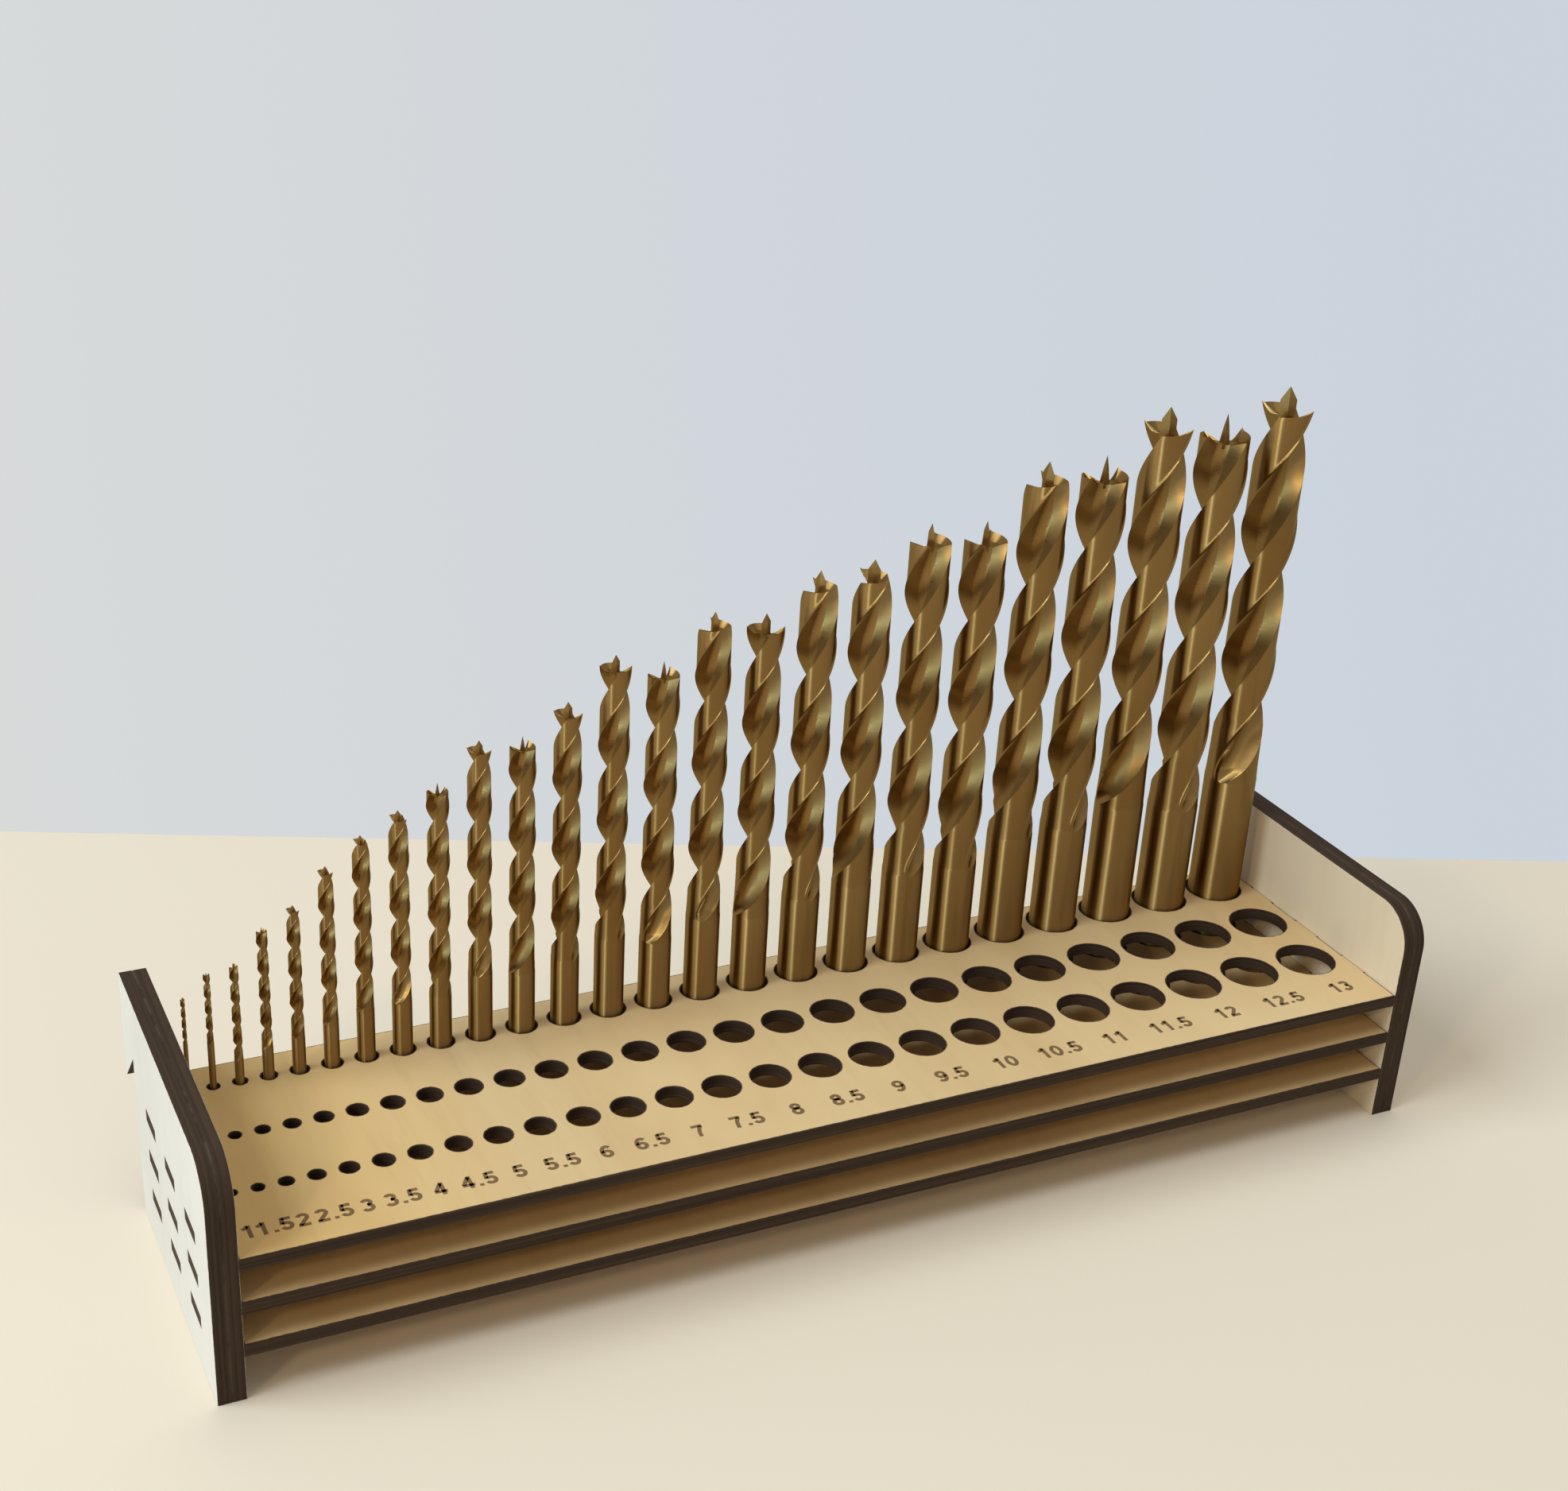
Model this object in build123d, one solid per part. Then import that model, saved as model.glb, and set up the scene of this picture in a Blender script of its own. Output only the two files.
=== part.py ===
from build123d import *
import os

# A wooden rack for a set of twist drills, cut from thin plywood, with the drills standing in its
# rear row.
# Frame: the origin is at the bottom centre, +X runs along the rack from the smallest drill to the
# largest, +Y runs from the front to the wall side, and +Z is up. Sizes are in millimetres.

# Plywood
plate_thickness = 3.0
sheet_thickness = 3.0
slot_clearance = 0.1

# Hole grid
hole_clearance = 1.0
hole_gap = 3.1
end_gap = 2.9
row_pitch = 19.5
row_count = 3
rear_margin = 8.2
front_margin = 21.8

# Shelves
foot_height = 10.6
shelf_pitch = 10.4

# Tabs that join each shelf to the side sheets
tab_width = 9.0
tab_pitch = 18.5
tab_count = 3

# Sides, each of two sheets, with a hook at the rear that hangs over a sloping rail
side_rise = 21.5
side_corner_radius = 10.0
hook_depth = 10.0
hook_drop = 10.0
hook_notch_rise = 5.4

# Drills: diameter, overall length, flute length, and the turn about its own axis in degrees
drill_set = (
    (1.0, 34.0, 12.0, 100.0),
    (1.5, 39.0, 18.0, 40.0),
    (2.0, 50.5, 24.0, 85.0),
    (2.5, 58.0, 30.0, 65.0),
    (3.0, 62.0, 33.0, -25.0),
    (3.5, 70.0, 39.0, -25.0),
    (4.0, 76.0, 43.0, -45.0),
    (4.5, 80.5, 47.0, -40.0),
    (5.0, 85.5, 52.0, 40.0),
    (5.5, 94.0, 57.0, -25.0),
    (6.0, 93.5, 58.0, 55.0),
    (6.5, 100.0, 63.0, -25.0),
    (7.0, 109.5, 69.0, -10.0),
    (7.5, 106.5, 69.0, 55.0),
    (8.0, 116.5, 75.0, 90.0),
    (8.5, 114.5, 75.0, -10.0),
    (9.0, 123.0, 81.0, 95.0),
    (9.5, 124.0, 81.0, -65.0),
    (10.0, 131.0, 87.0, 65.0),
    (10.5, 130.0, 87.0, 60.0),
    (11.0, 142.5, 94.0, 85.0),
    (11.5, 142.5, 94.0, 35.0),
    (12.0, 152.5, 101.0, -45.0),
    (12.5, 149.5, 101.0, 25.0),
    (13.0, 154.5, 101.0, -50.0),
)

# Drills thinner than this stand on the middle shelf, which has no hole for them
thinnest_deep_drill = 2.0
foot_gap = 0.05

# Form of a brad point drill, as shares of its diameter, and in degrees
flute_lead = 5.3
web_thickness = 0.22
land_angle = 86.0
flute_end_turn = 70.0
spike_height = 0.55
spike_base = 0.28
rim_height = 0.20
lip_radius = 0.30
flute_fade = 1.2
shank_chamfer = 0.05

# How far what cuts a hole or a slot runs past both faces
cut_overrun = 1.0

# Sizes that follow from the ones above
diameters = [row[0] for row in drill_set]
hole_diameters = [diameter + hole_clearance for diameter in diameters]
inner_width = 2 * end_gap + sum(hole_diameters) + hole_gap * (len(diameters) - 1)
side_thickness = 2 * sheet_thickness
inner_x = inner_width / 2
shelf_depth = front_margin + row_pitch * (row_count - 1) + rear_margin
front_y = -(shelf_depth + hook_depth) / 2
shelf_rear_y = front_y + shelf_depth
shelf_middle_y = front_y + shelf_depth / 2
hook_y = shelf_rear_y + hook_depth
bottom_top_z = foot_height + plate_thickness
middle_top_z = bottom_top_z + shelf_pitch
top_top_z = middle_top_z + shelf_pitch
rack_top_z = top_top_z + side_rise
notch_z = top_top_z + hook_notch_rise
hook_tip_z = notch_z - hook_drop


def column_centres():
    """The X of each column of holes, with equal gaps between the rims of neighbouring holes."""
    centres = [-inner_x + end_gap + hole_diameters[0] / 2]
    for left, right in zip(hole_diameters, hole_diameters[1:]):
        centres.append(centres[-1] + (left + right) / 2 + hole_gap)
    return centres


def row_centres():
    """The Y of each row of holes, from the rear row forwards."""
    return [shelf_rear_y - rear_margin - row_pitch * i for i in range(row_count)]


def tab_centres():
    """The Y of each tab, evenly spaced about the middle of the shelf."""
    first = -(tab_count - 1) / 2
    return [shelf_middle_y + (first + i) * tab_pitch for i in range(tab_count)]


def shelf(top_z, thinnest=None):
    """A shelf with its end tabs, and with holes for all drills that aren't thinner than thinnest."""
    middle_z = top_z - plate_thickness / 2
    board = Pos(0, shelf_middle_y, middle_z) * Box(inner_width, shelf_depth, plate_thickness)
    tab_span = inner_width + 2 * side_thickness
    tabs = [Pos(0, y, middle_z) * Box(tab_span, tab_width, plate_thickness) for y in tab_centres()]
    board = board + tabs
    if thinnest is None:
        return board
    holes = [
        Pos(x, y, middle_z) * Cylinder(hole / 2, plate_thickness + 2 * cut_overrun)
        for x, diameter, hole in zip(column_centres(), diameters, hole_diameters)
        if diameter >= thinnest
        for y in row_centres()
    ]
    return board - holes


def side_outline():
    """A side sheet's outline across the rack: a flat foot, a rounded corner at the front, and a
    hook at the rear whose sloping underside starts at a notch above the shelves."""
    corners = (
        (front_y, 0),
        (front_y, rack_top_z),
        (hook_y, rack_top_z),
        (hook_y, hook_tip_z),
        (shelf_rear_y, notch_z),
        (shelf_rear_y, 0),
    )
    outline = make_face(Polyline(*corners, close=True))
    top_corners = outline.vertices().group_by(Axis.Y)[-1]
    return fillet(top_corners.sort_by(Axis.X)[0], side_corner_radius)


def side_sheet(low_x):
    """One sheet of a side, from low_x towards +X, with a slot for each shelf's tabs."""
    sheet = extrude(Plane.YZ.offset(low_x) * side_outline(), sheet_thickness)
    slot_length = sheet_thickness + 2 * cut_overrun
    slot = Box(slot_length, tab_width + slot_clearance, plate_thickness + slot_clearance)
    slots = [
        Pos(low_x + sheet_thickness / 2, y, top_z - plate_thickness / 2) * slot
        for top_z in (bottom_top_z, middle_top_z, top_top_z)
        for y in tab_centres()
    ]
    return sheet - slots


def drill_blank(diameter, length):
    """A round bar with a chamfered foot, and a spike, a lip round it and a raised rim at its point."""
    radius = diameter / 2
    lip_z = length - spike_height * diameter
    chamfer = shank_chamfer * diameter
    corners = (
        (0, 0),
        (radius - chamfer, 0),
        (radius, chamfer),
        (radius, lip_z + rim_height * diameter),
        (lip_radius * diameter, lip_z),
        (spike_base / 2 * diameter, lip_z),
        (0, length),
    )
    return revolve(Plane.XZ * make_face(Polyline(*corners, close=True)), Axis.Z)


def fade_cone(diameter, start_z):
    """What the flutes leave standing round the web, where they fade out towards the shank."""
    fade = flute_fade * diameter
    cone = Cone(diameter / 2, web_thickness / 2 * diameter, fade)
    return Pos(0, 0, start_z + fade / 2) * cone


def flutes(diameter, length, flute_length):
    """The two right-hand grooves of a drill. Each is a circle that touches the web and passes
    through the edges of both lands, turned steadily on its way up."""
    web = web_thickness / 2 * diameter
    edge = Vector(diameter / 2, 0).rotate(Axis.Z, 90 - land_angle / 2)
    centre = (edge.length**2 - web**2) / (2 * (edge.X - web))
    section = (Pos(centre, 0) * Circle(centre - web)).face()
    turn = 360 * flute_length / (flute_lead * diameter)
    groove = Solid.extrude_linear_with_rotation(section, (0, 0, 0), (0, 0, flute_length), turn)
    start_z = length - flute_length
    faded = Pos(0, 0, start_z) * Rot(0, 0, flute_end_turn - turn) * groove
    faded = faded - fade_cone(diameter, start_z)
    return [faded, Rot(0, 0, 180) * faded]


def drill(diameter, length, flute_length, turn):
    """A drill that stands on its shank's end at the origin."""
    return Rot(0, 0, turn) * (drill_blank(diameter, length) - flutes(diameter, length, flute_length))


def drill_name(diameter):
    """The node's name, such as drill_02_5 for a drill of 2.5 mm."""
    return "drill_" + f"{diameter:04.1f}".replace(".", "_")


def rack():
    """Every piece of the rack by name."""
    return {
        "bottom_plate": shelf(bottom_top_z),
        "middle_plate": shelf(middle_top_z, thinnest_deep_drill),
        "top_plate": shelf(top_top_z, diameters[0]),
        "left_outer_panel": side_sheet(-inner_x - side_thickness),
        "left_inner_panel": side_sheet(-inner_x - sheet_thickness),
        "right_inner_panel": side_sheet(inner_x),
        "right_outer_panel": side_sheet(inner_x + sheet_thickness),
    }


def drills():
    """Every drill by name, standing in the rear row."""
    standing = {}
    for x, row in zip(column_centres(), drill_set):
        seat_z = bottom_top_z if row[0] >= thinnest_deep_drill else middle_top_z
        standing[drill_name(row[0])] = Pos(x, row_centres()[0], seat_z + foot_gap) * drill(*row)
    return standing


os.makedirs("parts", exist_ok=True)
for name, piece in (rack() | drills()).items():
    export_step(piece, f"parts/{name}.step")
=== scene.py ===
import math

import bmesh
import bpy
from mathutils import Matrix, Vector


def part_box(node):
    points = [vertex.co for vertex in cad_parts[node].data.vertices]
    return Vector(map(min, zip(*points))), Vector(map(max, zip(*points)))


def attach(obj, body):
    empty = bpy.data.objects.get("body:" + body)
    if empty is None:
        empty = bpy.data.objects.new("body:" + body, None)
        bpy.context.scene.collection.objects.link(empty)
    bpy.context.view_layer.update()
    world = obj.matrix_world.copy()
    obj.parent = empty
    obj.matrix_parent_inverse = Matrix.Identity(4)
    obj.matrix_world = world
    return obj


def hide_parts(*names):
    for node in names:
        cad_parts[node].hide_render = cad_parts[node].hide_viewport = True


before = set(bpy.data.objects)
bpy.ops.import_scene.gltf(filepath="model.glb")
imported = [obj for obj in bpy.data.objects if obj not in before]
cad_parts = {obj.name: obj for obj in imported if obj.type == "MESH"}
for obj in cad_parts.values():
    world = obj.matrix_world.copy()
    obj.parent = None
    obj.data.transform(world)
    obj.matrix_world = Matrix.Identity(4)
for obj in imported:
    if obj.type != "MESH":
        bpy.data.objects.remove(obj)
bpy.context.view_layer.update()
bpy.ops.object.select_all(action="DESELECT")

# A plywood drill rack with its drills. Lengths are in metres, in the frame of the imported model:
# +X runs from the smallest drill to the largest, +Y towards the wall, +Z up.
MM = 0.001

# Plywood sheets
tab_width = 9.0 * MM
tab_pitch = 18.5 * MM
tab_count = 3
slot_clearance = 0.1 * MM
hole_clearance = 1.0 * MM
row_pitch = 19.5 * MM
row_count = 3
side_corner_radius = 10.0 * MM
hook_notch_rise = 5.4 * MM
hook_drop = 10.0 * MM
thinnest_deep_drill = 2.0
arris = 0.12 * MM
scorch_width = 0.35 * MM
hole_sides = 64
corner_segments = 24
sheet_weld = 0.002 * MM
sheet_smooth_angle = 30.0

# Drills: diameter and flute length in millimetres, and turn about the axis in degrees
drill_set = (
    (1.0, 12.0, 100.0),
    (1.5, 18.0, 40.0),
    (2.0, 24.0, 85.0),
    (2.5, 30.0, 65.0),
    (3.0, 33.0, -25.0),
    (3.5, 39.0, -25.0),
    (4.0, 43.0, -45.0),
    (4.5, 47.0, -40.0),
    (5.0, 52.0, 40.0),
    (5.5, 57.0, -25.0),
    (6.0, 58.0, 55.0),
    (6.5, 63.0, -25.0),
    (7.0, 69.0, -10.0),
    (7.5, 69.0, 55.0),
    (8.0, 75.0, 90.0),
    (8.5, 75.0, -10.0),
    (9.0, 81.0, 95.0),
    (9.5, 81.0, -65.0),
    (10.0, 87.0, 65.0),
    (10.5, 87.0, 60.0),
    (11.0, 94.0, 85.0),
    (11.5, 94.0, 35.0),
    (12.0, 101.0, -45.0),
    (12.5, 101.0, 25.0),
    (13.0, 101.0, -50.0),
)

# Form of a drill, as shares of its diameter, and in degrees
flute_lead = 5.3
flute_fade = 1.3
land_angle = 86.0
margin_angle = 8.0
cove_angle = 9.0
flute_end_turn = 70.0
shank_chamfer = 0.05
spike_height = 0.55
spike_roof = 0.24
spike_width = 0.31
spike_thickness = 0.22
spike_root = 0.1
tip_length = 0.3

# What is left of the spike's width and thickness at its shoulder, and of both at its tip
shoulder_width = 0.97
shoulder_thickness = 0.45
spike_tip = 0.04

# Form of a drill, as shares of its radius
web_thickness = 0.22
land_clearance = 0.06
spur_height = 0.42
spur_start = 0.60
rim_fall = 0.12
lip_relief = 0.08

# How steeply a spur rises to the rim, and how the cutter is drawn out where the flutes end
spur_curve = 1.3
fade_curve = 1.5

# How finely a drill's surface is divided
flute_columns = 20
land_columns = 14
cove_columns = 6
fade_rows = 12
tip_rows = 5
end_rings = 6
turn_per_row = 6.0

# Points of a drill that lie closer together than this share of its diameter are joined, and edges
# up to this angle are shaded smooth
drill_weld = 1e-5
drill_smooth_angle = 28.0

# How polished a land is, where a flute is 1 and the shank 0, and how rough the metal is for that
land_polish = 0.4
shank_roughness = 0.39
flute_roughness = 0.29

# How high above the flutes' start the polish is full and the marks along the flutes begin, in
# lengths of the flutes' fade
polish_rise = 1.6
marks_start = 0.2

# Colours of the drills' steel
metal_straw = (0.30, 0.18, 0.062)
metal_bronze = (0.235, 0.13, 0.040)

# Numbers burnt into the top shelf
number_height = 4.15 * MM
number_line = 8.1 * MM
number_depth = 0.03 * MM

# Form of a digit, as shares of its height
digit_width = 0.70
digit_advance = 0.79
dot_advance = 0.40
stroke_width = 0.22

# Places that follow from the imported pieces
shelves = ("bottom_plate", "middle_plate", "top_plate")
panels = ("left_outer_panel", "left_inner_panel", "right_inner_panel", "right_outer_panel")
inner_low_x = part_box("left_inner_panel")[1].x
inner_high_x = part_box("right_inner_panel")[0].x
front_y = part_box("top_plate")[0].y
shelf_rear_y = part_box("top_plate")[1].y
shelf_middle_y = (front_y + shelf_rear_y) / 2
top_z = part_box("top_plate")[1].z
notch_z = top_z + hook_notch_rise
tab_centres = [shelf_middle_y + (i - (tab_count - 1) / 2) * tab_pitch for i in range(tab_count)]
drill_nodes = sorted(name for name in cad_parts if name.startswith("drill_"))


def drill_size(name):
    """The diameter in millimetres that a drill's name gives."""
    return float(name.removeprefix("drill_").replace("_", "."))


def drill_axis(name):
    """Where a drill's axis stands."""
    low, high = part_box(name)
    return (low.x + high.x) / 2, (low.y + high.y) / 2


# Building blocks for materials


def new_material(name):
    """An empty node material with its shader."""
    material = bpy.data.materials.new(name)
    material.use_nodes = True
    return material, material.node_tree, material.node_tree.nodes["Principled BSDF"]


def add(tree, kind, inputs=None, **settings):
    """A node with settings, and inputs that are either values or other nodes' outputs."""
    made = tree.nodes.new(kind)
    for key, value in settings.items():
        setattr(made, key, value)
    for key, value in (inputs or {}).items():
        if isinstance(value, bpy.types.NodeSocket):
            tree.links.new(value, made.inputs[key])
        else:
            made.inputs[key].default_value = value
    return made


def stretched_noise(tree, stretch, scale, detail=3.0, roughness=0.55, offset=(0, 0, 0)):
    """Noise in object space, drawn out along the axes where stretch is small."""
    coordinates = add(tree, "ShaderNodeTexCoord")
    mapping = add(
        tree,
        "ShaderNodeMapping",
        {"Vector": coordinates.outputs["Object"], "Scale": stretch, "Location": offset},
    )
    noise = add(
        tree,
        "ShaderNodeTexNoise",
        {"Vector": mapping.outputs["Vector"], "Scale": scale, "Detail": detail, "Roughness": roughness},
    )
    return noise.outputs["Fac"]


def remap(tree, value, low, high, to_low=0.0, to_high=1.0):
    """Value from the range low to high, clamped and moved to another range."""
    inputs = {
        "Value": value,
        "From Min": low,
        "From Max": high,
        "To Min": to_low,
        "To Max": to_high,
    }
    return add(tree, "ShaderNodeMapRange", inputs).outputs["Result"]


def mix_colour(tree, factor, first, second, blend="MIX"):
    """A mix of two colours, each given as a triple or as a socket."""
    inputs = {0: factor}
    for index, colour in ((6, first), (7, second)):
        is_socket = isinstance(colour, bpy.types.NodeSocket)
        inputs[index] = colour if is_socket else (*colour, 1.0)
    return add(tree, "ShaderNodeMix", inputs, data_type="RGBA", blend_type=blend).outputs[2]


def calculate(tree, operation, first, second=0.0):
    """A math node's result."""
    inputs = {0: first, 1: second}
    return add(tree, "ShaderNodeMath", inputs, operation=operation).outputs["Value"]


def plywood(name, veneer, deep_veneer, grain, through, seed, seam=None, painted_shade_and_warm_end=False):
    """Birch plywood: pale veneer with fine grain, and edges that a laser burnt dark brown.

    grain is how fast the veneer changes along each axis, and through how fast the plies do. The
    attribute "scorch" is 1 where the laser cut and 0 on the face. seam is the X of the glue line
    between two sheets, where the burn is thinner. With painted_shade_and_warm_end, the veneer is
    warmer near its end at -X, and darker below the top shelf, which is painted shade where the
    shelves shade each other."""
    material, tree, shader = new_material(name)
    broad = stretched_noise(tree, grain, 26.0, 4.0, 0.6, seed)
    fine = stretched_noise(tree, grain, 260.0, 3.0, 0.6, seed)
    cloud = stretched_noise(tree, (1, 0.6, 0.6), 22.0, 3.0, 0.5, seed)
    face = mix_colour(tree, remap(tree, broad, 0.3, 0.75), veneer, deep_veneer)
    face = mix_colour(tree, remap(tree, fine, 0.5, 0.8, 0.0, 0.3), face, [c * 0.84 for c in deep_veneer])
    face = mix_colour(tree, remap(tree, cloud, 0.42, 0.66, 0.0, 0.7), face, [c * 1.08 for c in veneer])
    position = add(tree, "ShaderNodeSeparateXYZ", {0: add(tree, "ShaderNodeTexCoord").outputs["Object"]})
    if painted_shade_and_warm_end:
        # Painted shade: below the top shelf the veneer is darker, where the shelves shade each other
        painted_shade_below = remap(tree, position.outputs["Z"], top_z - 2.0 * MM, top_z - 4.0 * MM)
        face = mix_colour(tree, painted_shade_below, face, (0.86, 0.84, 0.80), "MULTIPLY")
        # Warmer towards the end at -X, on the top face only
        towards_end = remap(tree, position.outputs["X"], inner_low_x * 0.55, inner_low_x * 0.9)
        towards_end = calculate(tree, "SUBTRACT", towards_end, painted_shade_below)
        towards_end = calculate(tree, "MAXIMUM", towards_end)
        face = mix_colour(tree, towards_end, face, (1.0, 0.92, 0.70), "MULTIPLY")

    plies = stretched_noise(tree, through, 60.0, 4.0, 0.6, seed)
    specks = stretched_noise(tree, (1, 1, 1), 1400.0, 3.0, 0.7, seed)
    burnt = mix_colour(tree, remap(tree, plies, 0.35, 0.7), (0.027, 0.015, 0.008), (0.062, 0.036, 0.019))
    burnt = mix_colour(tree, remap(tree, specks, 0.62, 0.8, 0.0, 0.35), burnt, (0.10, 0.06, 0.035))
    if seam is not None:
        away = calculate(tree, "ABSOLUTE", calculate(tree, "SUBTRACT", position.outputs["X"], seam))
        patchy = stretched_noise(tree, (1, 0.5, 0.5), 240.0, 3.0, 0.7, seed)
        near = remap(tree, away, 0.35 * MM, 0.1 * MM)
        near = calculate(tree, "MULTIPLY", near, remap(tree, patchy, 0.42, 0.6))
        burnt = mix_colour(tree, near, burnt, (0.085, 0.058, 0.036))

    scorch = add(tree, "ShaderNodeAttribute", attribute_name="scorch").outputs["Fac"]
    ragged = stretched_noise(tree, (1, 1, 1), 900.0, 3.0, 0.6, seed)
    ragged = remap(tree, ragged, 0.3, 0.7, -0.22, 0.22)
    ragged = calculate(tree, "MULTIPLY", ragged, remap(tree, scorch, 0.0, 0.3))
    edge = calculate(tree, "ADD", scorch, ragged)
    dark = remap(tree, edge, 0.45, 0.7)
    halo = remap(tree, edge, 0.0, 0.6, 0.0, 0.6)
    toasted = mix_colour(tree, halo, face, (0.30, 0.17, 0.07))
    colour = mix_colour(tree, dark, toasted, burnt)
    tree.links.new(colour, shader.inputs["Base Color"])
    tree.links.new(remap(tree, dark, 0.0, 1.0, 0.62, 0.82), shader.inputs["Roughness"])
    shader.inputs["Specular IOR Level"].default_value = 0.2

    relief = calculate(tree, "ADD", fine, calculate(tree, "MULTIPLY", specks, dark))
    bump = add(tree, "ShaderNodeBump", {"Height": relief, "Strength": 0.06, "Distance": 0.05 * MM})
    tree.links.new(bump.outputs["Normal"], shader.inputs["Normal"])
    return material


along_y = (1.0, 0.11, 1.0)
along_z = (1.0, 1.0, 0.10)
shelf_plies = (0.10, 0.10, 22.0)
panel_plies = (22.0, 0.10, 0.10)
shelf_wood = plywood(
    "birch_shelf",
    (0.70, 0.51, 0.265),
    (0.60, 0.40, 0.18),
    along_y,
    shelf_plies,
    (0.3, 0.1, 0.0),
    painted_shade_and_warm_end=True,
)
left_seam = (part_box("left_outer_panel")[1].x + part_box("left_inner_panel")[0].x) / 2
right_seam = (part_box("right_outer_panel")[0].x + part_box("right_inner_panel")[1].x) / 2
left_wood = plywood(
    "birch_left_side",
    (0.70, 0.685, 0.64),
    (0.64, 0.615, 0.56),
    along_z,
    panel_plies,
    (0.7, 0.4, 0.2),
    seam=left_seam,
)
right_wood = plywood(
    "birch_right_side",
    (0.71, 0.615, 0.455),
    (0.62, 0.51, 0.355),
    along_z,
    panel_plies,
    (0.1, 0.9, 0.5),
    seam=right_seam,
)


# Building blocks for pieces


def only(obj):
    """Makes an object the one that operators act on."""
    bpy.ops.object.select_all(action="DESELECT")
    obj.select_set(True)
    bpy.context.view_layer.objects.active = obj


def joined(objects):
    """Several pieces as one object."""
    bpy.ops.object.select_all(action="DESELECT")
    for obj in objects:
        obj.select_set(True)
    bpy.context.view_layer.objects.active = objects[0]
    bpy.ops.object.join()
    return objects[0]


def coat(obj, material):
    """Gives a piece its one material."""
    obj.data.materials.clear()
    obj.data.materials.append(material)


def weld(obj, distance, dissolve=False):
    """Joins the points that lie within a distance of each other, and turns all faces outward. What
    is then left of thin faces can be dissolved."""
    only(obj)
    bpy.ops.object.mode_set(mode="EDIT")
    bpy.ops.mesh.select_all(action="SELECT")
    bpy.ops.mesh.remove_doubles(threshold=distance)
    if dissolve:
        bpy.ops.mesh.dissolve_degenerate(threshold=distance)
    bpy.ops.mesh.normals_make_consistent(inside=False)
    bpy.ops.object.mode_set(mode="OBJECT")


def put(obj, location, turn=(0.0, 0.0, 0.0)):
    """Gives a mesh its place, and applies it."""
    obj.location = location
    obj.rotation_euler = turn
    only(obj)
    bpy.ops.object.transform_apply(location=True, rotation=True, scale=True)
    return obj


def rectangle(low_x, low_y, high_x, high_y):
    """A rectangle's four corners."""
    return [(low_x, low_y), (high_x, low_y), (high_x, high_y), (low_x, high_y)]


def arc(centre, radius, start, end, segments):
    """Points on an arc between two angles in degrees."""
    points = []
    for i in range(segments + 1):
        angle = math.radians(start + (end - start) * i / segments)
        points.append((centre[0] + radius * math.cos(angle), centre[1] + radius * math.sin(angle)))
    return points


def extruded(name, outlines, height, bevel=0.0):
    """A solid between closed outlines, the first its rim and the others its holes. It lies about
    the local XY plane, and its edges are bevelled within the outlines."""
    flat = bpy.data.curves.new(name, "CURVE")
    flat.dimensions = "2D"
    flat.fill_mode = "BOTH"
    flat.extrude = height / 2 - bevel
    flat.bevel_depth = bevel
    flat.bevel_resolution = 0
    flat.offset = -bevel
    for outline in outlines:
        spline = flat.splines.new("POLY")
        spline.points.add(len(outline) - 1)
        for point, (x, y) in zip(spline.points, outline):
            point.co = (x, y, 0.0, 1.0)
        spline.use_cyclic_u = True
    made = bpy.data.objects.new(name, flat)
    bpy.context.scene.collection.objects.link(made)
    only(made)
    bpy.ops.object.convert(target="MESH")
    return bpy.context.object


# Plywood pieces


def select_faces_at(obj, level):
    """Enters edit mode with the two faces of a sheet selected that lie level above and below its
    middle."""
    only(obj)
    bpy.ops.object.mode_set(mode="EDIT")
    bpy.ops.mesh.select_mode(type="FACE")
    bpy.ops.mesh.select_all(action="DESELECT")
    shape = bmesh.from_edit_mesh(obj.data)
    for face in shape.faces:
        face.select = all(abs(abs(vertex.co.z) - level) < arris / 10 for vertex in face.verts)
    shape.select_flush_mode()
    bmesh.update_edit_mesh(obj.data)


def cut_sheet(name, outlines, thickness, material, band=0.0):
    """A sheet of plywood with broken arrises, cut along closed outlines. The attribute "scorch" is 1
    on the cut walls and 0 on the faces. Where it has a band, the faces are scorched that far in."""
    sheet = extruded(name, outlines, thickness, arris)
    weld(sheet, sheet_weld)
    select_faces_at(sheet, thickness / 2)
    bpy.ops.mesh.beautify_fill()
    if band:
        bpy.ops.mesh.inset(thickness=band, depth=0.0, use_boundary=True, use_even_offset=True)
    bpy.ops.object.mode_set(mode="OBJECT")
    clean = set()
    for polygon in sheet.data.polygons:
        if polygon.select:
            clean.update(polygon.vertices)
    scorch = sheet.data.attributes.new("scorch", "FLOAT", "POINT")
    for index, burn in enumerate(scorch.data):
        burn.value = 0.0 if index in clean else 1.0
    coat(sheet, material)
    only(sheet)
    bpy.ops.object.shade_smooth_by_angle(angle=math.radians(sheet_smooth_angle))
    return sheet


def shelf(name):
    """A shelf with its tabs and, in the upper two, three rows of holes."""
    low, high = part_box(name)
    right = [(inner_high_x, low.y)]
    for y in tab_centres:
        right += [
            (inner_high_x, y - tab_width / 2),
            (high.x, y - tab_width / 2),
            (high.x, y + tab_width / 2),
            (inner_high_x, y + tab_width / 2),
        ]
    right.append((inner_high_x, high.y))
    left = [(-x, y) for x, y in reversed(right)]
    outlines = [right + left]
    for drill in drill_nodes:
        size = drill_size(drill)
        if name == "bottom_plate" or (name == "middle_plate" and size < thinnest_deep_drill):
            continue
        x, rear_row_y = drill_axis(drill)
        radius = (size * MM + hole_clearance) / 2
        for row in range(row_count):
            outlines.append(arc((x, rear_row_y - row * row_pitch), radius, 0, 360, hole_sides)[:-1])
    sheet = cut_sheet(name + "_sheet", outlines, high.z - low.z, shelf_wood, scorch_width)
    return put(sheet, (0, 0, (low.z + high.z) / 2))


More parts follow.
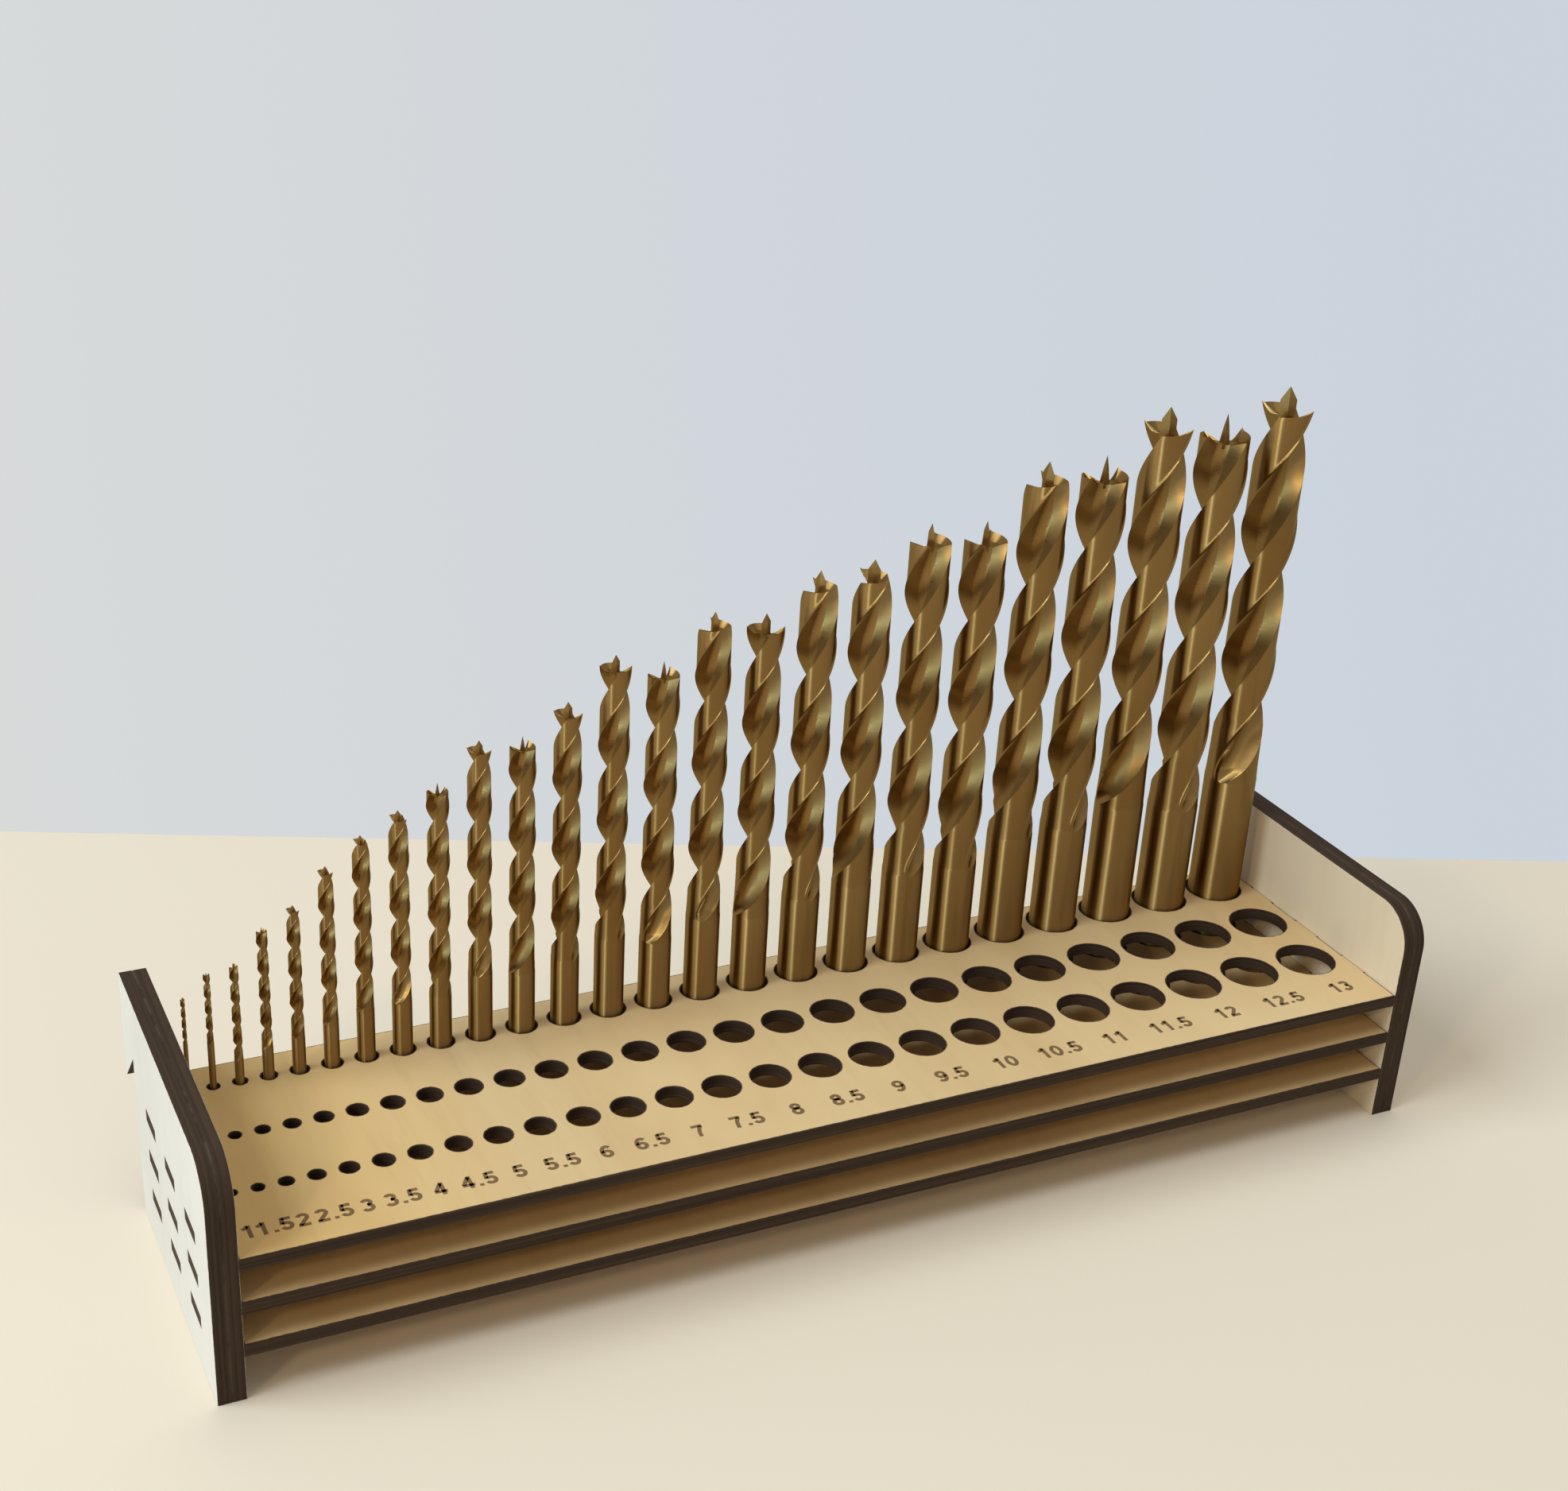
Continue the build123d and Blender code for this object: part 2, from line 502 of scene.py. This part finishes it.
def panel(name):
    """A side sheet: rounded at its upper front corner, with a hook at the rear and nine slots. The
    face that is glued to its neighbour is burnt at its rim."""
    low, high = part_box(name)
    radius = side_corner_radius
    rim = [(low.y, low.z)]
    rim += arc((low.y + radius, high.z - radius), radius, 180, 90, corner_segments)
    rim += [
        (high.y, high.z),
        (high.y, notch_z - hook_drop),
        (shelf_rear_y, notch_z),
        (shelf_rear_y, low.z),
    ]
    outlines = [rim]
    for plate in shelves:
        plate_low, plate_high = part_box(plate)
        gap = slot_clearance / 2
        for y in tab_centres:
            half = tab_width / 2 + gap
            outlines.append(rectangle(y - half, plate_low.z - gap, y + half, plate_high.z + gap))
    wood, seam = (left_wood, left_seam) if name.startswith("left") else (right_wood, right_seam)
    sheet = cut_sheet(name + "_sheet", outlines, high.x - low.x, wood)
    put(sheet, ((low.x + high.x) / 2, 0, 0), (math.radians(90), 0, math.radians(90)))
    for vertex, burn in zip(sheet.data.vertices, sheet.data.attributes["scorch"].data):
        if abs(vertex.co.x - seam) < arris:
            burn.value = 1.0
    return sheet


for name in shelves + panels:
    sheet = shelf(name) if name in shelves else panel(name)
    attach(sheet, "rack")
    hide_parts(name)


# Drills


def drill_metal():
    """Ground steel with a straw to bronze tint. Its grinding marks draw the highlights out across
    them."""
    material, tree, shader = new_material("bronzed_steel")
    lines = stretched_noise(tree, (1, 1, 40), 120.0, 3.0, 0.6)
    tint = stretched_noise(tree, (1, 1, 0.4), 50.0, 2.0, 0.5)
    colour = mix_colour(tree, remap(tree, tint, 0.3, 0.7), metal_straw, metal_bronze)
    tree.links.new(colour, shader.inputs["Base Color"])
    shader.inputs["Metallic"].default_value = 1.0
    polish = add(tree, "ShaderNodeAttribute", attribute_name="polish").outputs["Fac"]
    matt = remap(tree, polish, 0.0, 1.0, shank_roughness, flute_roughness)
    roughness = calculate(tree, "MULTIPLY", matt, remap(tree, lines, 0.3, 0.7, 0.88, 1.12))
    tree.links.new(roughness, shader.inputs["Roughness"])
    shader.inputs["Anisotropic"].default_value = 0.95
    shader.inputs["Anisotropic Rotation"].default_value = 0.25
    shader.inputs["Specular Tint"].default_value = (0.75, 0.68, 0.5, 1.0)
    grind = add(tree, "ShaderNodeAttribute", attribute_name="grind").outputs["Vector"]
    tree.links.new(grind, shader.inputs["Tangent"])
    bump = add(tree, "ShaderNodeBump", {"Height": lines, "Strength": 0.07, "Distance": 0.02 * MM})
    tree.links.new(bump.outputs["Normal"], shader.inputs["Normal"])
    return material


def groove_circle(web):
    """A flute's section: centre and radius of the circle that touches the web and meets both land
    edges, for a drill of radius 1."""
    edge = math.radians(90 - land_angle / 2)
    centre = (1 - web**2) / (2 * (math.cos(edge) - web))
    return centre, centre - web


groove_centre, groove_radius = groove_circle(web_thickness)


def section(lift):
    """The closed section of a drill of radius 1, as angles in degrees and radii, counted from the
    middle of a flute. lift is how far the cutter has drawn out of the flute: 0 in the full flute, and
    at the start of the shank it leaves a plain circle."""
    centre = groove_centre + lift
    share = (1 + centre**2 - groove_radius**2) / (2 * centre)
    half = math.degrees(math.acos(min(share, 1.0)))
    clearance = land_clearance * half / (90 - land_angle / 2)
    points = []
    for i in range(flute_columns):
        angle = half * (2 * i / flute_columns - 1)
        across = centre * math.sin(math.radians(angle))
        along = centre * math.cos(math.radians(angle))
        points.append((angle, along - math.sqrt(max(groove_radius**2 - across**2, 0.0))))
    step_start = 180 - half - margin_angle - cove_angle
    for i in range(land_columns):
        points.append((half + (step_start - half) * i / land_columns, 1 - clearance))
    for i in range(cove_columns):
        rise = i / cove_columns
        points.append((step_start + cove_angle * rise, 1 - clearance * (1 - rise**3)))
    points.append((180 - half - margin_angle, 1.0))
    return points + [(angle + 180, radius) for angle, radius in points]


def end_height(angle, radius):
    """How far a drill's end rises above its lips, as a share of its radius: a spur at each land's
    leading corner, and relief behind each lip."""
    half = 90 - land_angle / 2
    behind = (-half - angle) % 180
    ahead = behind > 180 - half
    relief = 0.0 if ahead else math.radians(behind) * radius * lip_relief
    fall = 1.0 if ahead else 1 - rim_fall * min(behind / land_angle, 1.0)
    spur = max(0.0, (radius - spur_start) / (1 - spur_start)) ** spur_curve
    return spur_height * spur * fall - relief


def fluted_bar(diameter, length, flute_length, turn):
    """A drill without its spike, as one grid rolled round its axis: each row is the section at one
    height, from the middle of the foot to the middle of the point. The attribute "polish" is 1 in
    the flutes, less on the lands and 0 on the shank. The attribute "grind" is the way that the
    grinding marks run: along the flutes, and round the axis elsewhere."""
    radius = diameter / 2
    lip_z = length - spike_height * diameter
    start_z = length - flute_length
    fade = flute_fade * diameter
    lead = flute_lead * diameter

    def placed(angle, share, z):
        """A point of the section at its turned place."""
        turned = math.radians(angle + flute_end_turn + turn - 360 * (length - max(z, start_z)) / lead)
        return (share * radius * math.cos(turned), share * radius * math.sin(turned), z)

    round_section = section(1 + groove_radius - groove_centre)
    chamfer = shank_chamfer * diameter
    rows = [[placed(angle, 0.0, 0.0) for angle, _ in round_section]]
    for share, z in ((1 - chamfer / radius, 0.0), (1.0, chamfer), (1.0, start_z)):
        rows.append([placed(angle, share, z) for angle, _ in round_section])
    for i in range(1, fade_rows + 1):
        rise = (i / fade_rows) ** 2
        lift = (1 + groove_radius - groove_centre) * (1 - rise) ** fade_curve
        rows.append([placed(angle, share, start_z + fade * rise) for angle, share in section(lift)])
    full = section(0.0)
    tip_z = lip_z - tip_length * diameter
    steps = math.ceil((tip_z - start_z - fade) / lead * 360 / turn_per_row)
    for i in range(1, steps + 1):
        z = start_z + fade + (tip_z - start_z - fade) * i / steps
        rows.append([placed(angle, share, z) for angle, share in full])
    ends = [lip_z + radius * end_height(angle, share) for angle, share in full]
    for i in range(1, tip_rows + 1):
        row = []
        for (angle, share), end_z in zip(full, ends):
            row.append(placed(angle, share, tip_z + (end_z - tip_z) * i / tip_rows))
        rows.append(row)
    for i in range(1, end_rings + 1):
        inward = 1 - i / end_rings
        row = []
        for (angle, share), end_z in zip(full, ends):
            x, y, _ = placed(angle, share, end_z)
            z = lip_z + radius * end_height(angle, share * inward)
            row.append((x * inward, y * inward, z if inward else lip_z))
        rows.append(row)

    columns = len(full)
    bpy.ops.mesh.primitive_grid_add(x_subdivisions=columns, y_subdivisions=len(rows) - 1)
    bar = bpy.context.object
    polish = bar.data.attributes.new("polish", "FLOAT", "POINT")
    grind = bar.data.attributes.new("grind", "FLOAT_VECTOR", "POINT")
    for vertex in bar.data.vertices:
        row, column = divmod(vertex.index, columns + 1)
        vertex.co = rows[row][column % columns]
        marks = Vector((-vertex.co.y, vertex.co.x, 0.0))
        in_flute = column % (columns // 2) < flute_columns
        risen = min(max((vertex.co.z - start_z) / (fade * polish_rise), 0.0), 1.0)
        polish.data[vertex.index].value = risen * (1.0 if in_flute else land_polish)
        if in_flute and vertex.co.z > start_z + fade * marks_start:
            marks.z = lead / (2 * math.pi)
        grind.data[vertex.index].vector = marks.normalized()
    weld(bar, diameter * drill_weld, dissolve=True)
    return bar


def spike(diameter, length, turn):
    """The blade in the middle of a drill's point: a lozenge in section, broad along the lips, with
    upright edges and a pointed roof."""
    root_z = length - (spike_height + spike_root) * diameter
    shoulder_z = length - spike_roof * diameter
    bpy.ops.mesh.primitive_cylinder_add(vertices=4, radius=0.5, depth=1.0)
    blade = bpy.context.object
    blade.scale = (spike_width * diameter, spike_thickness * diameter, shoulder_z - root_z)
    put(blade, (0, 0, (root_z + shoulder_z) / 2))
    bpy.ops.object.mode_set(mode="EDIT")
    bpy.ops.mesh.select_mode(type="FACE")
    bpy.ops.mesh.select_all(action="DESELECT")
    shape = bmesh.from_edit_mesh(blade.data)
    for face in shape.faces:
        face.select = face.normal.z > 0.9
    bmesh.update_edit_mesh(blade.data)
    shoulder = (shoulder_width, shoulder_thickness, 1)
    bpy.ops.transform.resize(value=shoulder, center_override=(0, 0, shoulder_z))
    bpy.ops.mesh.extrude_region_move(TRANSFORM_OT_translate={"value": (0, 0, length - shoulder_z)})
    bpy.ops.transform.resize(value=(spike_tip, spike_tip, 1), center_override=(0, 0, length))
    bpy.ops.object.mode_set(mode="OBJECT")
    for mark in blade.data.attributes.new("grind", "FLOAT_VECTOR", "POINT").data:
        mark.vector = (0.0, 0.0, 1.0)
    return put(blade, (0, 0, 0), (0, 0, math.radians(flute_end_turn + turn - 90 + land_angle / 2)))


metal = drill_metal()
for size, flute_length, turn in drill_set:
    node = f"drill_{size:04.1f}".replace(".", "_")
    low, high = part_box(node)
    bar = fluted_bar(size * MM, high.z - low.z, flute_length * MM, turn)
    drill = joined([bar, spike(size * MM, high.z - low.z, turn)])
    drill.name = "twist_" + node
    put(drill, ((low.x + high.x) / 2, (low.y + high.y) / 2, low.z))
    coat(drill, metal)
    only(drill)
    bpy.ops.object.shade_smooth_by_angle(angle=math.radians(drill_smooth_angle))
    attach(drill, node)
    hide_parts(node)


# Numbers


def burnt_ink():
    """The brown of shallow laser engraving."""
    material, tree, shader = new_material("burnt_number")
    grain = stretched_noise(tree, (1, 1, 1), 1600.0, 3.0, 0.6)
    colour = mix_colour(tree, remap(tree, grain, 0.3, 0.7), (0.15, 0.080, 0.026), (0.215, 0.125, 0.045))
    tree.links.new(colour, shader.inputs["Base Color"])
    shader.inputs["Roughness"].default_value = 0.85
    return material


def oval(x, y, half_width, half_height, start=0, end=360, segments=24):
    """Points on an upright ellipse between two angles."""
    return [(x + half_width * u, y + half_height * v) for u, v in arc((0, 0), 1, start, end, segments)]


# Each digit is a list of strokes along their middles, in a box as high as 1 and as wide as digit_width
digit_strokes = {
    "0": [oval(0.35, 0.5, 0.235, 0.41)],
    "1": [[(0.44, 0.0), (0.44, 1.0)], [(0.13, 0.72), (0.30, 0.80), (0.42, 0.94)]],
    "2": [
        oval(0.35, 0.70, 0.225, 0.205, 165, -35) + [(0.14, 0.10)],
        [(0.05, 0.09), (0.64, 0.09)],
    ],
    "3": [
        oval(0.34, 0.72, 0.20, 0.185, 160, -90),
        oval(0.34, 0.315, 0.235, 0.22, 90, -160),
    ],
    "4": [
        [(0.46, 0.93), (0.10, 0.31)],
        [(0.03, 0.28), (0.67, 0.28)],
        [(0.48, 0.0), (0.48, 1.0)],
    ],
    "5": [
        [(0.16, 0.91), (0.61, 0.91)],
        [(0.20, 0.98), (0.13, 0.46)],
        oval(0.34, 0.335, 0.235, 0.235, 140, -160),
    ],
    "6": [oval(0.355, 0.32, 0.225, 0.225), oval(0.41, 0.42, 0.285, 0.485, 180, 50)],
    "7": [[(0.05, 0.91), (0.65, 0.91)], [(0.58, 0.90), (0.43, 0.64), (0.34, 0.36), (0.30, 0.0)]],
    "8": [oval(0.35, 0.73, 0.195, 0.175), oval(0.35, 0.31, 0.23, 0.215)],
    ".": [[(0.19, 0.0), (0.19, 0.19)]],
}
digit_strokes["9"] = [[(digit_width - x, 1 - y) for x, y in line] for line in digit_strokes["6"]]


def stroke_outlines(points, width):
    """The outline of a stroke with square ends, or both outlines of a stroke that closes."""
    closed = math.dist(points[0], points[-1]) < width / 100
    sides = ([], [])
    before_first = points[-2] if closed else points[0]
    for i, (x, y) in enumerate(points[:-1] if closed else points):
        before = points[i - 1] if i else before_first
        after = points[min(i + 1, len(points) - 1)]
        across = Vector((before[1] - after[1], after[0] - before[0])).normalized() * width / 2
        sides[0].append((x + across.x, y + across.y))
        sides[1].append((x - across.x, y - across.y))
    return list(sides) if closed else [sides[0] + sides[1][::-1]]


def digit_piece(character):
    """One digit, or the dot, as a thin solid about the local XY plane."""
    parts = []
    for stroke in digit_strokes[character]:
        points = [(x * number_height, y * number_height) for x, y in stroke]
        outlines = stroke_outlines(points, stroke_width * number_height)
        parts.append(extruded("stroke", outlines, number_depth))
    return joined(parts)


def numbers(material):
    """The drills' sizes in a row along the top shelf's front."""
    digits = {character: digit_piece(character) for character in digit_strokes}
    made = []
    for name in drill_nodes:
        label = f"{drill_size(name):g}"
        advances = [dot_advance if character == "." else digit_advance for character in label]
        x = drill_axis(name)[0] - sum(advances) * number_height / 2
        for character, advance in zip(label, advances):
            copy = digits[character].copy()
            copy.data = copy.data.copy()
            bpy.context.scene.collection.objects.link(copy)
            made.append(put(copy, (x, front_y + number_line - number_height / 2, top_z)))
            x += advance * number_height
    for digit in digits.values():
        bpy.data.objects.remove(digit)
    row = joined(made)
    row.name = "size_numbers"
    weld(row, number_depth / 10)
    coat(row, material)
    return row


number_row = numbers(burnt_ink())
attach(number_row, "rack")


# Stage, light and camera

# Two points on the floor's far edge, where it meets the wall in the photo, and the floor's size
floor_edge_left = Vector((-148.1, 224.9)) * MM
floor_edge_right = Vector((284.8, 48.9)) * MM
floor_size = 6.0


def paper(name, pale, deep):
    """Plain paper with a faint unevenness."""
    material, tree, shader = new_material(name)
    uneven = stretched_noise(tree, (1, 1, 1), 3.0, 2.0, 0.5)
    colour = mix_colour(tree, remap(tree, uneven, 0.3, 0.7), pale, deep)
    tree.links.new(colour, shader.inputs["Base Color"])
    shader.inputs["Roughness"].default_value = 0.9
    shader.inputs["Specular IOR Level"].default_value = 0.1
    return material


bpy.ops.mesh.primitive_plane_add(size=floor_size)
floor = bpy.context.object
floor.name = "floor"
coat(floor, paper("floor_paper", (0.80, 0.70, 0.555), (0.79, 0.69, 0.545)))
edge = floor_edge_right - floor_edge_left
middle = (floor_edge_left + floor_edge_right) / 2
middle += Vector((edge.y, -edge.x)).normalized() * floor_size / 2
put(floor, (middle.x, middle.y, 0), (0, 0, math.atan2(edge.y, edge.x)))


def area_light(name, location, target, size, power, colour):
    """A soft light, so wide and so high, that looks at a target."""
    bpy.ops.object.light_add(type="AREA", location=location)
    lamp = bpy.context.object
    lamp.name = name
    lamp.data.shape = "RECTANGLE"
    lamp.data.size, lamp.data.size_y = size
    lamp.data.energy = power
    lamp.data.color = colour
    lamp.rotation_euler = (Vector(target) - Vector(location)).to_track_quat("-Z", "Y").to_euler()
    return lamp


def direction(azimuth, elevation):
    """A unit vector from angles in degrees, with azimuth counted from +X towards +Y."""
    flat = math.cos(math.radians(elevation))
    return Vector(
        (
            flat * math.cos(math.radians(azimuth)),
            flat * math.sin(math.radians(azimuth)),
            math.sin(math.radians(elevation)),
        )
    )


# The window and the ceiling light the room. The glint and the streak are small lamps for the
# highlights on the drills, and the streak lights nothing that is matt.
subject = Vector((0, 0, 0.06))
area_light("window", subject + 3.0 * direction(178, 43), subject, (2.0, 1.8), 80.0, (0.79, 0.91, 1.0))
area_light("glint", subject + 1.5 * direction(-146, 28), subject, (0.12, 0.12), 3.0, (1.0, 0.76, 0.42))
streak = area_light(
    "streak", subject + 1.2 * direction(-142, 14), subject, (0.12, 0.7), 4.6, (0.42, 0.75, 1.0)
)
streak.visible_diffuse = False
area_light("ceiling", Vector((0.5, 0.0, 1.7)), subject, (1.5, 1.5), 6.5, (1.0, 0.95, 0.86))


def room(name):
    """A pale wall, seen by the camera and in the metal, darker and bluer towards +X as a painted
    falloff of the window's light. The light that it gives is brighter from the rear than from the front."""
    world = bpy.data.worlds.new(name)
    world.use_nodes = True
    tree = world.node_tree
    way = add(tree, "ShaderNodeSeparateXYZ", {0: add(tree, "ShaderNodeTexCoord").outputs["Generated"]})
    strength = remap(tree, way.outputs["Y"], -0.3, 0.6, 0.35, 0.52)
    around = add(tree, "ShaderNodeBackground", {"Color": (0.86, 0.9, 0.95, 1.0), "Strength": strength})
    # Painted shade: the wall darkens and turns bluer towards +X, as the window's light falls off
    across = remap(tree, way.outputs["X"], 0.1, 0.65)
    wall_with_painted_falloff = mix_colour(tree, across, (0.685, 0.70, 0.70), (0.595, 0.65, 0.72))
    wall = add(tree, "ShaderNodeBackground", {"Color": wall_with_painted_falloff, "Strength": 1.0})
    rays = add(tree, "ShaderNodeLightPath").outputs
    mirrored = calculate(tree, "MAXIMUM", rays["Is Glossy Ray"], rays["Is Transmission Ray"])
    seen = calculate(tree, "MAXIMUM", rays["Is Camera Ray"], mirrored)
    inputs = {0: seen, 1: around.outputs["Background"], 2: wall.outputs["Background"]}
    mixed = add(tree, "ShaderNodeMixShader", inputs)
    tree.links.new(mixed.outputs["Shader"], tree.nodes["World Output"].inputs["Surface"])
    return world


bpy.context.scene.world = room("room")

camera_data = bpy.data.cameras.new("camera")
camera = bpy.data.objects.new("camera", camera_data)
bpy.context.scene.collection.objects.link(camera)
camera.location = (-212.52 * MM, -398.38 * MM, 316.09 * MM)
camera.rotation_euler = [math.radians(angle) for angle in (63.6725, -2.2907, -24.1059)]
camera_data.sensor_width = 36.0
camera_data.lens = 52.65
camera_data.shift_x = 0.0455
camera_data.shift_y = 0.0284
camera_data.clip_start = 0.01
camera_data.clip_end = 50.0
bpy.context.scene.camera = camera
bpy.context.scene.view_settings.view_transform = "Standard"
